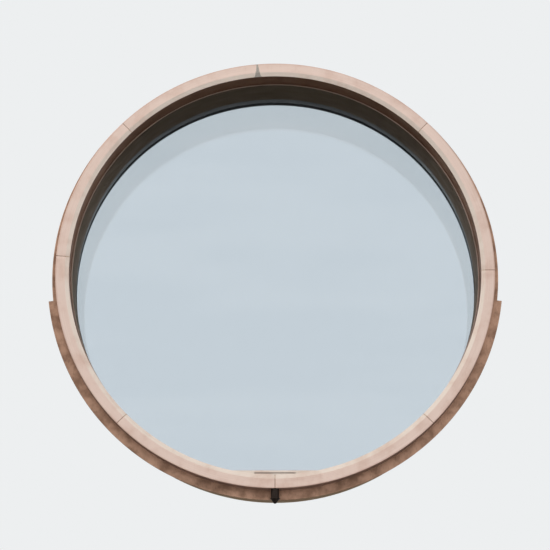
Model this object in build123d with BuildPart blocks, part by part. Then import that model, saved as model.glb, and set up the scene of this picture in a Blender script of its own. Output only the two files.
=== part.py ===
from build123d import *
import math
import os

# Oculus window: a fixed round window about 3 m across, glazed at the back of a deep round
# reveal. A ring of folded copper sheet over a timber core stands proud of the wall outside.
# Sizes are in millimetres. +Y points into the building and +Z up. The origin is on the
# window's axis, in the plane where the fixing lugs bear on the wall's sheathing.
# Angles are read as on a clock face seen from outside, in degrees from twelve o'clock.

# Front ring
ring_outer_radius = 1515.0
ring_face_width = 93.0
ring_front = 175.0              # the ring's front plane stands this far out from the lugs
ring_stand_off = 18.0           # from the flashing's plane to the ring's outer return
bevel_width = 28.0              # slope at the ring's inner edge
bevel_depth = 9.0
sheet = 1.5                     # copper sheet
seat_gap = 0.3                  # between pieces that seat on each other
sleeve_gap = 0.8                # between the copper sleeve and the timber core
joint_angles = (-4.8, 45.0, 90.0, 135.0, 180.0, 225.0, 274.0, 315.0)
joint_gap = 4.0                 # open butt joint between two ring segments
strap_thickness = 1.0
strap_length = 60.0

# Flashing
flange_plane = 60.0             # front of the cladding, out from the lugs
upstand_clearance = 13.0        # between the flashing's upstand and the spout's neck
apron_width = 65.0              # past the ring's outer edge, lower half
head_width = 33.0               # past the ring's outer edge, upper half
apron_end_angle = 97.0          # where the apron ends, clockwise and anticlockwise

# Reveal lining
liner_thickness = 8.0
liner_lap = 8.0                 # liner over the sleeve's inner end

# Structural casing
casing_inset = 5.0              # casing inside the ring's outer edge
casing_depth = 500.0
rebate_length = 210.0           # glazing rebate, out from the casing's room side
rebate_depth = 50.0             # radial
casing_joint_angle = 45.0
core_joint_angle = 22.5
spline_thickness = 12.0
spline_side_cover = 6.0         # timber left beside a spline
spline_end_cover = 20.0         # timber left past its ends

# Fixing lugs
lug_count = 12
lug_first_angle = 15.0
lug_width = 40.0
lug_thickness = 5.0
lug_seat = 70.0                 # under the ring, in from its outer edge
lug_reach = 31.0                # past the ring's outer edge
lug_hole_radius = 4.5
lug_hole_reach = 15.0           # hole's centre past the ring's outer edge

# Glazing
sight_setback = 2.0             # frame's inner face behind the clear opening
frame_front_leg = 104.0         # depth of the frame in front of the glass
frame_side_leg = 23.0           # radial thickness beside the glass
gasket = 6.0                    # thickness, each side of the unit
gasket_setback = 1.0            # gasket's inner edge behind the frame's
gasket_edge_gap = 3.7           # gasket's outer edge to the frame's side leg
pane = 10.0
cavity = 18.0
unit_edge_gap = 6.7             # glass edge to the frame's side leg
spacer_height = 16.0
bead_depth = 25.0
block_length = 100.0
setting_block_angles = (150.0, 210.0)
location_block_angles = (0.0, 60.0, 105.0, 255.0, 300.0)

# Drain at six o'clock
drain_setback = 35.0            # slot's centre line behind the ring's front
tray_length = 280.0
tray_width = 32.0
tray_depth = 42.0
slot_end_margin = 5.0           # sleeve's slot inside the tray's ends
slot_side_margin = 6.0          # and inside its long sides
sill_height = 30.0              # level sill over the reveal's lowest point
sill_depth = 62.0
sill_slot_length = 280.0        # slot in the sill's front plate
sill_slot_height = 6.0
sill_slot_drop = 18.0           # slot's centre line below the sill's top
inlet_count = 5                 # notches in the sill's back leg
inlet_length = 40.0
inlet_height = 12.0
inlet_pitch = 70.0
spout_radius = 28.0
spout_neck_radius = 19.0
spout_length = 65.0             # straight part below the ring
spout_bead_radius = 5.0         # ridge round the barrel's lower end
spout_tip_radius = 8.0
spout_tip_length = 28.0
spout_wall = 2.0

# Places that follow from the sizes above
full_turn = 360.0
clear_radius = ring_outer_radius - ring_face_width
core_inner_radius = clear_radius + sheet + sleeve_gap
core_outer_radius = ring_outer_radius - 2 * (sheet + seat_gap)
core_front = -ring_front + sheet + strap_thickness + 2 * seat_gap
cover_back = -flange_plane - ring_stand_off
sleeve_front = -ring_front + bevel_depth + sheet + 2 * seat_gap
liner_outer_radius = clear_radius - seat_gap
liner_inner_radius = liner_outer_radius - liner_thickness
casing_outer_radius = ring_outer_radius - casing_inset
rebate_start = casing_depth - rebate_length
rebate_radius = clear_radius + rebate_depth
frame_outer_radius = rebate_radius - seat_gap
frame_side_radius = frame_outer_radius - frame_side_leg
sight_radius = clear_radius + sight_setback
glass_radius = frame_side_radius - unit_edge_gap
glass_front = rebate_start + frame_front_leg + gasket
unit_depth = 2 * pane + cavity
bead_front = glass_front + unit_depth + gasket
gasket_inner_radius = sight_radius + gasket_setback
gasket_outer_radius = frame_side_radius - gasket_edge_gap
lug_inner_radius = ring_outer_radius - lug_seat
lug_outer_radius = ring_outer_radius + lug_reach
drain_line = -ring_front + drain_setback
upstand_end = drain_line + spout_neck_radius + upstand_clearance


def section_plane(angle):
    """Half-plane through the window's axis: local x is the radius, local y runs inwards."""
    turn = math.radians(angle)
    radial = (math.sin(turn), 0, math.cos(turn))
    across = (-math.cos(turn), 0, math.sin(turn))
    return Plane(origin=(0, 0, 0), x_dir=radial, z_dir=across)


def tangent_plane(angle, radius, depth=0.0):
    """Plane that touches the circle of this radius: x along the circle, y inwards, z out."""
    turn = math.radians(angle)
    radial = (math.sin(turn), 0, math.cos(turn))
    along = (-math.cos(turn), 0, math.sin(turn))
    centre = (radius * radial[0], depth, radius * radial[2])
    return Plane(origin=centre, x_dir=along, z_dir=radial)


def arc_degrees(length, radius):
    return math.degrees(length / radius)


def write(name, piece):
    piece.label = name
    export_step(piece, f"parts/{name}.step")


os.makedirs("parts", exist_ok=True)


# Copper ring: each segment is one folded sheet, with a bevel at the reveal, a flat face
# and a return round the outer edge.
half_gap = arc_degrees(joint_gap / 2, ring_outer_radius)
spout_hole_plane = tangent_plane(180, core_outer_radius, drain_line)

for index, start in enumerate(joint_angles):
    after = joint_angles[(index + 1) % len(joint_angles)]
    arc = (after - start) % full_turn - 2 * half_gap
    with BuildPart() as ring_segment:
        with BuildSketch(section_plane(start + half_gap)):
            with BuildLine():
                outside = Polyline(
                    (clear_radius, -ring_front + bevel_depth),
                    (clear_radius + bevel_width, -ring_front),
                    (ring_outer_radius, -ring_front),
                    (ring_outer_radius, cover_back),
                )
                offset(outside, amount=sheet, side=Side.LEFT, kind=Kind.INTERSECTION)
            make_face()
        revolve(axis=Axis.Y, revolution_arc=arc)
        if 180 in (start, after):
            with BuildSketch(spout_hole_plane):
                Circle(spout_neck_radius + seat_gap)
            extrude(amount=ring_outer_radius, mode=Mode.SUBTRACT)
    write(f"ring_segment_{index + 1}", ring_segment.part)

# Straps behind the butt joints, one flat plate each.
strap_arc = arc_degrees(strap_length, ring_outer_radius)
with BuildPart() as joint_straps:
    for angle in joint_angles:
        with BuildSketch(section_plane(angle - strap_arc / 2)):
            with BuildLine():
                Polyline(
                    (clear_radius + bevel_width, core_front - seat_gap),
                    (core_outer_radius, core_front - seat_gap),
                    (core_outer_radius, core_front - seat_gap - strap_thickness),
                    (clear_radius + bevel_width, core_front - seat_gap - strap_thickness),
                    close=True,
                )
            make_face()
        revolve(axis=Axis.Y, revolution_arc=strap_arc)
write("joint_straps", joint_straps.part)

# Timber core quadrants, notched for the lugs and hollowed for the drain tray.
lug_angles = [lug_first_angle + k * full_turn / lug_count for k in range(lug_count)]
tray_bottom = core_inner_radius + tray_depth

for index in range(4):
    start = core_joint_angle + 90 * index
    with BuildPart() as core_quadrant:
        with BuildSketch(section_plane(start)):
            with BuildLine():
                Polyline(
                    (core_inner_radius, core_front + bevel_depth),
                    (core_inner_radius + bevel_width, core_front),
                    (core_outer_radius, core_front),
                    (core_outer_radius, 0),
                    (core_inner_radius, 0),
                    close=True,
                )
            make_face()
        revolve(axis=Axis.Y, revolution_arc=90)
        for angle in lug_angles:
            if start < angle < start + 90 or start < angle + full_turn < start + 90:
                with BuildSketch(tangent_plane(angle, lug_inner_radius - seat_gap)):
                    Rectangle(lug_width + 2 * seat_gap, 2 * (lug_thickness + seat_gap))
                extrude(amount=ring_outer_radius - lug_inner_radius, mode=Mode.SUBTRACT)
        if start < 180 < start + 90:
            with BuildSketch(tangent_plane(180, core_inner_radius - tray_depth, drain_line)):
                Rectangle(tray_length + 2 * seat_gap, tray_width + 2 * seat_gap)
            extrude(amount=2 * tray_depth + seat_gap, mode=Mode.SUBTRACT)
            with BuildSketch(tangent_plane(180, tray_bottom, drain_line)):
                Circle(spout_neck_radius + seat_gap)
            extrude(amount=ring_outer_radius - tray_bottom, mode=Mode.SUBTRACT)
    write(f"ring_core_{index + 1}", core_quadrant.part)


def flashing(start, arc, width):
    """L-shaped sheet: an upstand round the core and a flange flat on the cladding."""
    bend_radius = core_outer_radius + seat_gap
    with BuildPart() as half:
        with BuildSketch(section_plane(start)):
            with BuildLine():
                bent = Polyline(
                    (bend_radius, upstand_end),
                    (bend_radius, -flange_plane),
                    (ring_outer_radius + width, -flange_plane),
                )
                offset(bent, amount=sheet, side=Side.RIGHT, kind=Kind.INTERSECTION)
            make_face()
        revolve(axis=Axis.Y, revolution_arc=arc)
    return half.part


write("sill_apron", flashing(apron_end_angle, full_turn - 2 * apron_end_angle, apron_width))
write("head_flashing", flashing(-apron_end_angle, 2 * apron_end_angle, head_width))

# Copper sleeve, two half rings; the lower one is slotted over the drain tray.
slot_length = tray_length - 2 * slot_end_margin
slot_width = tray_width - 2 * slot_side_margin

for name, start in (("reveal_sleeve_upper", -90), ("reveal_sleeve_lower", 90)):
    with BuildPart() as sleeve:
        with BuildSketch(section_plane(start)):
            with BuildLine():
                Polyline(
                    (clear_radius, sleeve_front),
                    (clear_radius + sheet, sleeve_front),
                    (clear_radius + sheet, 0),
                    (clear_radius, 0),
                    close=True,
                )
            make_face()
        revolve(axis=Axis.Y, revolution_arc=180)
        if start == 90:
            with BuildSketch(tangent_plane(180, clear_radius - tray_depth, drain_line)):
                Rectangle(slot_length, slot_width)
            extrude(amount=2 * tray_depth, mode=Mode.SUBTRACT)
    write(name, sleeve.part)

# Dark reveal liner, two rolled panels with their thickness showing at the front edge.
for name, start in (("reveal_liner_upper", -90), ("reveal_liner_lower", 90)):
    with BuildPart() as liner:
        with BuildSketch(section_plane(start)):
            with BuildLine():
                Polyline(
                    (liner_inner_radius, -liner_lap),
                    (liner_outer_radius, -liner_lap),
                    (liner_outer_radius, rebate_start),
                    (liner_inner_radius, rebate_start),
                    close=True,
                )
            make_face()
        revolve(axis=Axis.Y, revolution_arc=180)
    write(name, liner.part)

# Structural casing quadrants, rebated for the glazing frame, slotted for the splines.
spline_radius = (clear_radius + casing_outer_radius) / 2
spline_middle = rebate_start / 2
spline_width = casing_outer_radius - clear_radius - 2 * spline_side_cover
spline_length = rebate_start - 2 * spline_end_cover
spline_angles = [casing_joint_angle + 90 * index for index in range(4)]

for index, start in enumerate(spline_angles):
    with BuildPart() as casing_quadrant:
        with BuildSketch(section_plane(start)):
            with BuildLine():
                Polyline(
                    (clear_radius, 0),
                    (casing_outer_radius, 0),
                    (casing_outer_radius, casing_depth),
                    (rebate_radius, casing_depth),
                    (rebate_radius, rebate_start),
                    (clear_radius, rebate_start),
                    close=True,
                )
            make_face()
        revolve(axis=Axis.Y, revolution_arc=90)
        for angle in (start, start + 90):
            with BuildSketch(tangent_plane(angle, spline_radius, spline_middle)):
                Rectangle(spline_width + 2 * seat_gap, spline_length + 2 * seat_gap)
            extrude(amount=spline_thickness / 2 + seat_gap, both=True, mode=Mode.SUBTRACT)
    write(f"casing_{index + 1}", casing_quadrant.part)

for index, angle in enumerate(spline_angles):
    with BuildPart() as spline:
        with BuildSketch(tangent_plane(angle, spline_radius, spline_middle)):
            Rectangle(spline_width, spline_length)
        extrude(amount=spline_thickness / 2, both=True)
    write(f"casing_spline_{index + 1}", spline.part)

# Fixing lugs: flat steel straps in the core's notches, each with one screw hole.
lug_hole_circle = ring_outer_radius + lug_hole_reach

with BuildPart() as fixing_lugs:
    for angle in lug_angles:
        with BuildSketch(tangent_plane(angle, lug_inner_radius, -lug_thickness / 2)):
            Rectangle(lug_width, lug_thickness)
        extrude(amount=lug_outer_radius - lug_inner_radius)
    with BuildSketch(Plane.XZ):
        with PolarLocations(lug_hole_circle, lug_count, start_angle=lug_first_angle):
            Circle(lug_hole_radius)
    extrude(amount=lug_thickness, both=True, mode=Mode.SUBTRACT)
write("fixing_lugs", fixing_lugs.part)

# Glazing frame quadrants: a deep leg in front of the glass and a thin one beside it.
for index in range(4):
    with BuildPart() as frame_quadrant:
        with BuildSketch(section_plane(90 * index)):
            with BuildLine():
                Polyline(
                    (sight_radius, rebate_start),
                    (frame_outer_radius, rebate_start),
                    (frame_outer_radius, bead_front),
                    (frame_side_radius, bead_front),
                    (frame_side_radius, glass_front - gasket),
                    (sight_radius, glass_front - gasket),
                    close=True,
                )
            make_face()
        revolve(axis=Axis.Y, revolution_arc=90)
    write(f"glazing_frame_{index + 1}", frame_quadrant.part)

# Sealed glazing unit.
for name, front in (("outer_pane", glass_front), ("inner_pane", glass_front + pane + cavity)):
    with BuildPart() as glass_pane:
        with BuildSketch(Plane.XZ.offset(-front)):
            Circle(glass_radius)
        extrude(amount=-pane)
    write(name, glass_pane.part)

with BuildPart() as spacer_ring:
    with BuildSketch(Plane.XZ.offset(-glass_front - pane)):
        Circle(glass_radius)
        Circle(glass_radius - spacer_height, mode=Mode.SUBTRACT)
    extrude(amount=-cavity)
write("spacer_ring", spacer_ring.part)

# Gaskets on both faces of the unit.
gasket_places = (("outer_gasket", glass_front - gasket), ("inner_gasket", bead_front - gasket))
for name, front in gasket_places:
    with BuildPart() as gasket_ring:
        with BuildSketch(Plane.XZ.offset(-front)):
            Circle(gasket_outer_radius)
            Circle(gasket_inner_radius, mode=Mode.SUBTRACT)
        extrude(amount=-gasket)
    write(name, gasket_ring.part)


def edge_blocks(angles):
    """Blocks between the unit's edge and the frame's side leg, curved to both."""
    block_arc = arc_degrees(block_length, glass_radius)
    inner = glass_radius + seat_gap
    outer = frame_side_radius - seat_gap
    with BuildPart() as blocks:
        for angle in angles:
            with BuildSketch(section_plane(angle - block_arc / 2)):
                with BuildLine():
                    Polyline(
                        (inner, glass_front),
                        (outer, glass_front),
                        (outer, glass_front + unit_depth),
                        (inner, glass_front + unit_depth),
                        close=True,
                    )
                make_face()
            revolve(axis=Axis.Y, revolution_arc=block_arc)
    return blocks.part


write("setting_blocks", edge_blocks(setting_block_angles))
write("location_blocks", edge_blocks(location_block_angles))

# Glazing beads on the room side.
for index in range(4):
    with BuildPart() as bead_quadrant:
        with BuildSketch(section_plane(casing_joint_angle + 90 * index)):
            with BuildLine():
                Polyline(
                    (sight_radius, bead_front),
                    (frame_outer_radius, bead_front),
                    (frame_outer_radius, bead_front + bead_depth),
                    (sight_radius, bead_front + bead_depth),
                    close=True,
                )
            make_face()
        revolve(axis=Axis.Y, revolution_arc=90)
    write(f"glazing_bead_{index + 1}", bead_quadrant.part)

# Drain tray under the sleeve's slot: a folded box, open on top, with a hole for the spout.
tray_plane = tangent_plane(180, tray_bottom, drain_line)
with BuildPart() as drain_tray:
    with BuildSketch(tray_plane):
        Rectangle(tray_length, tray_width)
    extrude(amount=-2 * tray_depth)
    with BuildSketch(tray_plane.offset(-sheet)):
        Rectangle(tray_length - 2 * sheet, tray_width - 2 * sheet)
    extrude(amount=-2 * tray_depth, mode=Mode.SUBTRACT)
    with BuildSketch(Plane.XZ):
        Circle(core_inner_radius)
    extrude(amount=ring_front, mode=Mode.SUBTRACT)
    with BuildSketch(tray_plane):
        Circle(spout_neck_radius - spout_wall)
    extrude(amount=-sheet, mode=Mode.SUBTRACT)
write("drain_tray", drain_tray.part)

# Drain sill: a folded channel over the slot, level on top and cut to the sleeve's curve. Its
# front plate closes the reveal's lowest segment and has a long slot, its back leg has inlets.
sill_top = clear_radius - sill_height
sill_front = sleeve_front + seat_gap
half_chord = math.sqrt(clear_radius ** 2 - sill_top ** 2)
sill_plane = tangent_plane(180, sill_top, sill_front + sill_depth / 2)
with BuildPart() as drain_sill:
    with BuildSketch(sill_plane):
        Rectangle(2 * half_chord, sill_depth)
    extrude(amount=2 * sill_height)
    with BuildSketch(sill_plane.offset(sheet)):
        Rectangle(2 * half_chord, sill_depth - 2 * sheet)
    extrude(amount=2 * sill_height, mode=Mode.SUBTRACT)
    with BuildSketch(Plane.XZ):
        Circle(ring_outer_radius)
        Circle(clear_radius - seat_gap, mode=Mode.SUBTRACT)
    extrude(amount=ring_front, mode=Mode.SUBTRACT)
    with BuildSketch(Plane.XZ.offset(-sill_front)):
        with Locations((0, -sill_top - sill_slot_drop)):
            Rectangle(sill_slot_length, sill_slot_height)
    extrude(amount=-sheet, mode=Mode.SUBTRACT)
    with BuildSketch(Plane.XZ.offset(-sill_front - sill_depth)):
        with Locations((0, -clear_radius)):
            with GridLocations(inlet_pitch, 0, inlet_count, 1):
                Rectangle(inlet_length, 2 * inlet_height)
    extrude(amount=sheet, mode=Mode.SUBTRACT)
write("drain_sill", drain_sill.part)

# Spout: a neck up to the tray, a straight barrel, a ridge and a pointed tip, all hollow.
barrel_top = ring_outer_radius + seat_gap
bead_middle = barrel_top + spout_length
tip_end = bead_middle + spout_bead_radius + spout_tip_length
neck_bore = spout_neck_radius - spout_wall
tip_bore = spout_tip_radius - spout_wall
with BuildPart() as drain_spout:
    with BuildSketch(Plane.YZ):
        with BuildLine():
            Polyline(
                (drain_line + neck_bore, -tray_bottom - seat_gap),
                (drain_line + spout_neck_radius, -tray_bottom - seat_gap),
                (drain_line + spout_neck_radius, -barrel_top),
                (drain_line + spout_radius, -barrel_top),
                (drain_line + spout_radius, -bead_middle + spout_bead_radius),
                (drain_line + spout_radius + spout_bead_radius, -bead_middle),
                (drain_line + spout_radius, -bead_middle - spout_bead_radius),
                (drain_line + spout_tip_radius, -tip_end),
                (drain_line + tip_bore, -tip_end),
                (drain_line + neck_bore, -bead_middle),
                close=True,
            )
        make_face()
    revolve(axis=Axis((0, drain_line, 0), (0, 0, 1)))
write("drain_spout", drain_spout.part)
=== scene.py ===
import math

import bmesh
import bpy
import numpy as np
from bpy.props import FloatProperty, FloatVectorProperty, PointerProperty
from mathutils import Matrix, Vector


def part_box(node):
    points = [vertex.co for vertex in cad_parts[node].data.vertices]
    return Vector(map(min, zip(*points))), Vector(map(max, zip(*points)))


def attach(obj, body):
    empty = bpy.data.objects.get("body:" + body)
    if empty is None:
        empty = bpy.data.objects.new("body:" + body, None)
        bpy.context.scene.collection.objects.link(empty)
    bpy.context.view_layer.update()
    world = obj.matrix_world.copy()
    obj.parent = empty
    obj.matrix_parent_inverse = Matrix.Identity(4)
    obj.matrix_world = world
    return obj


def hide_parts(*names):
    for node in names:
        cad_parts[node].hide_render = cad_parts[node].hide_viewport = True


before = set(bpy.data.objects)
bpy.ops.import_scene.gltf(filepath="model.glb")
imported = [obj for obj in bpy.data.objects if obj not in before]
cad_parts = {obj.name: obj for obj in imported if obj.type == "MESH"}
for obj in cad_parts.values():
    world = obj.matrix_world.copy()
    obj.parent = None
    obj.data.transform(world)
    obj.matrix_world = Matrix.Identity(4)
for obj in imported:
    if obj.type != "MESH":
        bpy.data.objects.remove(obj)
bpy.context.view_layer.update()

bl_info = {
    "name": "Oculus Window",
    "version": (1, 0, 0),
    "blender": (4, 5, 0),
    "location": "View3D > Sidebar > Oculus",
    "description": "Dresses the packed frame of a round window in copper, timber and glass",
    "category": "Add Mesh",
}

MM = 0.001
TAU = 2 * math.pi
TOUCHING = 0.001 * MM   # points that are closer become one
CRISP = 32              # degrees, past which a fold is an edge
HEM_RADIUS = 0.15 * MM
GAP = 0.3 * MM          # between pieces that slide together

# Degrees from one section to the next along the round pieces, and the longest cell across
RING_STEP, SLEEVE_STEP, FLASHING_STEP, BAR_STEP, GASKET_STEP = 0.55, 0.7, 0.8, 0.9, 1.2
RING_CELL, SLEEVE_CELL, FLASHING_CELL, SOLDER_CELL = 9 * MM, 12 * MM, 8 * MM, 4 * MM
SILL_CELL = 12 * MM

# Angles are read as on a clock face seen from outside, in degrees from twelve o'clock.
# A place on the window is (radius, depth): depth is the frame's Y, which runs indoors.


def corners_of(node):
    """The x, y and z of a CAD node's corners, one row each."""
    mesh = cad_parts[node].data
    flat = np.empty(3 * len(mesh.vertices), np.float32)
    mesh.vertices.foreach_get("co", flat)
    return flat.reshape(-1, 3).astype(float).T


def spread(*nodes):
    """Smallest and largest radius, and smallest and largest depth, of some CAD nodes."""
    x, y, z = np.concatenate([corners_of(node) for node in nodes], 1)
    r = np.hypot(x, z)
    return r.min(), r.max(), y.min(), y.max()


def ends(node):
    """Clock angles at which a CAD node starts and stops: the two sides of the widest gap
    between the angles of its outermost corners."""
    x, _, z = corners_of(node)
    far = np.hypot(x, z) > 0.9 * np.hypot(x, z).max()
    turn = np.sort(np.degrees(np.arctan2(x[far], z[far])) % 360)
    gaps = np.diff(np.append(turn, turn[0] + 360))
    widest = int(gaps.argmax())
    start = turn[(widest + 1) % len(turn)]
    return start, start + 360 - gaps[widest]


RINGS = [f"ring_segment_{k}" for k in range(1, 9)]
CASINGS = [f"casing_{k}" for k in range(1, 5)]
FRAMES = [f"glazing_frame_{k}" for k in range(1, 5)]
BEADS = [f"glazing_bead_{k}" for k in range(1, 5)]

CLEAR, _, SLEEVE_FRONT, SLEEVE_INNER_END = spread("reveal_sleeve_upper")
_, RING_OUTER, RING_FRONT, RING_BACK = spread(*RINGS)
LINER_INNER, LINER_OUTER, LINER_FRONT, LINER_END = spread("reveal_liner_upper")
_, APRON_OUTER, FLASHING_TOP, CLADDING = spread("sill_apron")
_, HEAD_OUTER, _, _ = spread("head_flashing")
CASING_INNER, CASING_OUTER, CASING_FRONT, CASING_ROOM = spread(*CASINGS)
SIGHT, FRAME_OUTER, FRAME_FRONT, BEAD_FRONT = spread(*FRAMES)
_, _, _, BEAD_ROOM = spread(*BEADS)
SILL_LOW, SILL_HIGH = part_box("drain_sill")
SPOUT_LOW, SPOUT_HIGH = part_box("drain_spout")
TRAY_LOW, TRAY_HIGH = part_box("drain_tray")


def linear(code):
    """Linear RGBA of an sRGB hex colour: a channel c becomes c / 12.92 where it is small,
    and ((c + 0.055) / 1.055) to the power 2.4 elsewhere."""
    c = np.array([int(code[k:k + 2], 16) for k in (1, 3, 5)]) / 255
    c = np.where(c <= 0.04045, c / 12.92, ((c + 0.055) / 1.055) ** 2.4)
    return (*(float(v) for v in c), 1.0)


def length(label, text, millimetres):
    """A size for a PropertyGroup, kept in metres."""
    return FloatProperty(
        name=label, description=text, default=millimetres * MM, unit="LENGTH", precision=4, min=0.0
    )


def colour(label, text, code):
    """A colour for a PropertyGroup, from its hex code."""
    return FloatVectorProperty(
        name=label, description=text, subtype="COLOR", size=4, min=0.0, max=1.0,
        default=linear(code),
    )


class OculusCopper(bpy.types.PropertyGroup):
    sheet: length("Sheet", "Thickness of the copper sheet", 1.5)
    bend: length("Bend", "Size of the curve at a fold", 3.0)
    bevel_width: length("Bevel width", "Slope at the ring's inner edge, along the radius", 28.0)
    bevel_depth: length("Bevel depth", "Slope at the ring's inner edge, outwards", 9.0)
    hem: length("Hem", "Folded edge along the sheets", 11.0)
    waver: length("Waver", "How far the broad faces swell between their fixings", 0.7)
    ring: colour("Ring", "Rolled copper after its first season", "#E7CFC2")
    # Paler bevel: partly copper that rain washes, partly a painted highlight along the inner edge
    ring_cool: colour("Ring bevel", "Copper that the rain washes", "#E8D9CC")
    ring_brown: colour("Ring tarnish", "Brown bloom along the outer fold", "#B98F7C")
    flashing: colour("Flashing", "Weathered copper under the ring", "#BE9881")
    # Painted shade: the sleeve is a darker brown than the ring's copper, for the shade deep in the
    # reveal
    sleeve: colour("Sleeve", "Oxidised copper in the reveal", "#82614C")
    solder: colour("Solder", "Tin solder wiped over the joint at the top", "#B7AFA6")


class OculusReveal(bpy.types.PropertyGroup):
    arris: length("Arris", "Rounding of the liner's edges", 0.8)
    liner: colour("Liner", "Dark bronze of the liner panels", "#706354")
    # Partly a painted highlight: the panels' bare edge is made pale to show a lit line along the
    # reveal
    liner_edge: colour("Liner edge", "Bare edge of the panels", "#C4AFA2")


class OculusTimber(bpy.types.PropertyGroup):
    arris: length("Arris", "Planed-off edge of the casing", 2.0)
    lamella: length("Lamella", "Thickness of one bent lamella", 22.0)
    board: length("Board", "Width of one lamella", 125.0)
    early: colour("Early wood", "Pale wood between the rings", "#D9B98C")
    late: colour("Late wood", "Darker yearly rings", "#B8895A")
    glue: colour("Glue line", "Joint between two lamellae", "#7A5A3C")
    ply: colour("Plywood", "Birch plywood splines", "#D2B48A")


class OculusGlazing(bpy.types.PropertyGroup):
    arris: length("Arris", "Rounding of the frame's edges", 2.5)
    screw_pitch: length("Screw pitch", "Distance between the bead's screws", 205.0)
    screw_head: length("Screw head", "Radius of a screw head", 4.2)
    paint: colour("Paint", "Grey paint on frame and beads", "#4B4D4D")
    tint: colour("Tint", "What the coated outer pane lets through", "#E0E5EF")
    clear: colour("Clear", "What the inner pane lets through", "#F2F8F5")
    rubber: colour("Rubber", "Gaskets", "#1C1D1D")


class OculusStage(bpy.types.PropertyGroup):
    eye: FloatVectorProperty(
        name="Eye", description="Where the photograph was taken from", subtype="TRANSLATION",
        unit="LENGTH", size=3, default=(0.07, -14.2, -3.8),
    )
    lens: FloatProperty(
        name="Lens", description="Focal length in millimetres", default=138.0, min=10.0,
        unit="CAMERA",
    )
    ground: FloatProperty(
        name="Ground", description="Height of the floor", default=-5.3, unit="LENGTH"
    )
    backdrop: colour("Backdrop", "Pale ground and sky", "#EDEFF0")


GROUPS = {
    "oculus_copper": OculusCopper,
    "oculus_reveal": OculusReveal,
    "oculus_timber": OculusTimber,
    "oculus_glazing": OculusGlazing,
    "oculus_stage": OculusStage,
}


# Shapes


def bent(corners, cuts):
    """A line with its corners rounded: each one gives way to the parabola that leaves and
    meets the straight parts at the cut's distance, drawn as six points of
    (1-t)^2 A + 2 t (1-t) B + t^2 C."""
    corners = np.asarray(corners, float)
    cuts = np.broadcast_to(cuts, len(corners) - 2)
    t = np.linspace(0, 1, 6)[:, None]
    out = [corners[:1]]
    for before, corner, after, cut in zip(corners, corners[1:], corners[2:], cuts):
        a = corner + (before - corner) * cut / np.linalg.norm(before - corner)
        c = corner + (after - corner) * cut / np.linalg.norm(after - corner)
        out.append((1 - t) ** 2 * a + 2 * t * (1 - t) * corner + t ** 2 * c)
    return np.concatenate([*out, corners[-1:]])


def rounded(corners, cut):
    """A closed outline with every corner rounded, as bent does it."""
    corners = np.asarray(corners, float)
    return bent(np.concatenate([corners[-1:], corners, corners[:1]]), cut)[1:-1]


def hemmed(line, width):
    """The line, folded back on its right-hand side by a half circle and a flat return."""
    along = line[-1] - line[-2]
    along = along / np.linalg.norm(along)
    aside = np.array([along[1], -along[0]])
    t = np.linspace(0, math.pi, 7)[1:, None]
    turn = line[-1] + HEM_RADIUS * (np.sin(t) * along + (1 - np.cos(t)) * aside)
    return np.concatenate([line, turn, [turn[-1] - width * along]])


def divided(line, longest):
    """The line with extra points on its long stretches."""
    line = np.asarray(line, float)
    out = [line[:1]]
    for a, b in zip(line, line[1:]):
        count = max(1, math.ceil(np.linalg.norm(b - a) / longest))
        out.append(a + (b - a) * np.linspace(0, 1, count + 1)[1:, None])
    return np.concatenate(out)


def ladder(stops, longest):
    """Rising values that hold every stop, no further apart than the longest step."""
    stops = np.unique(np.asarray(stops, float))
    return divided(together(stops, 0), longest)[:, 0]


def run_of(line):
    """Distance along a line at each of its points."""
    return np.concatenate([[0], np.cumsum(np.linalg.norm(np.diff(line, axis=0), axis=1))])


def right_of(line):
    """Unit normal on the right-hand side of a line, at each of its points."""
    along = np.gradient(line, axis=0)
    along /= np.linalg.norm(along, axis=1, keepdims=True)
    return together(along[:, 1], -along[:, 0])


def together(*values):
    """Arrays of one shape, or that spread to one, joined along a last axis."""
    return np.stack(np.broadcast_arrays(*values), -1)


def around(radius, depth, turn):
    """Points at a radius, depth and clock angle in radians: (r sin a, d, r cos a)."""
    return together(radius * np.sin(turn), depth, radius * np.cos(turn))


def make(name, points, faces, material, uv=None, solid=0.0):
    """Mesh object from points and faces. Where solid is given, Solidify gives the sheet that
    thickness behind its faces."""
    mesh = bpy.data.meshes.new(name)
    mesh.from_pydata(points.reshape(-1, 3), [], faces)
    if uv is not None:
        corner = np.empty(len(mesh.loops), np.int32)
        mesh.loops.foreach_get("vertex_index", corner)
        layer = mesh.uv_layers.new(name="unrolled")
        layer.uv.foreach_set("vector", uv.reshape(-1, 2)[corner].ravel().astype(np.float32))
    mesh.update()
    piece = bpy.data.objects.new(name, mesh)
    bpy.context.scene.collection.objects.link(piece)
    if solid:
        wall = piece.modifiers.new("sheet", "SOLIDIFY")
        wall.thickness = solid
        wall.offset = -1
        wall.use_quality_normals = True
        bpy.context.view_layer.update()
        shown = piece.evaluated_get(bpy.context.evaluated_depsgraph_get())
        thick = bpy.data.meshes.new_from_object(shown)
        piece.modifiers.clear()
        piece.data = thick
        bpy.data.meshes.remove(mesh)
        thick.name = name
        mesh = thick
    mesh.materials.clear()
    mesh.materials.append(material)
    mesh.shade_smooth()
    mesh.set_sharp_from_angle(angle=math.radians(CRISP))
    return piece


def stand_in(piece, slot, *nodes):
    """Lets a piece ride on the frame and hides what it replaces. The slot is not used."""
    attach(piece, "root")
    if nodes:
        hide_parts(*nodes)
    return piece


def grid(first, second):
    """Two arrays with every pair of the values of both."""
    return np.meshgrid(first, second, indexing="ij")


def strip(rows, columns, wrap_rows=False, wrap_columns=False):
    """Four-cornered faces of a grid of rows by columns. Either may wrap round to its start."""
    i, j = grid(np.arange(rows - 1 + wrap_rows), np.arange(columns - 1 + wrap_columns))
    k, m = (i + 1) % rows * columns, (j + 1) % columns
    return together(i * columns + j, k + j, k + m, i * columns + m)


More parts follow.
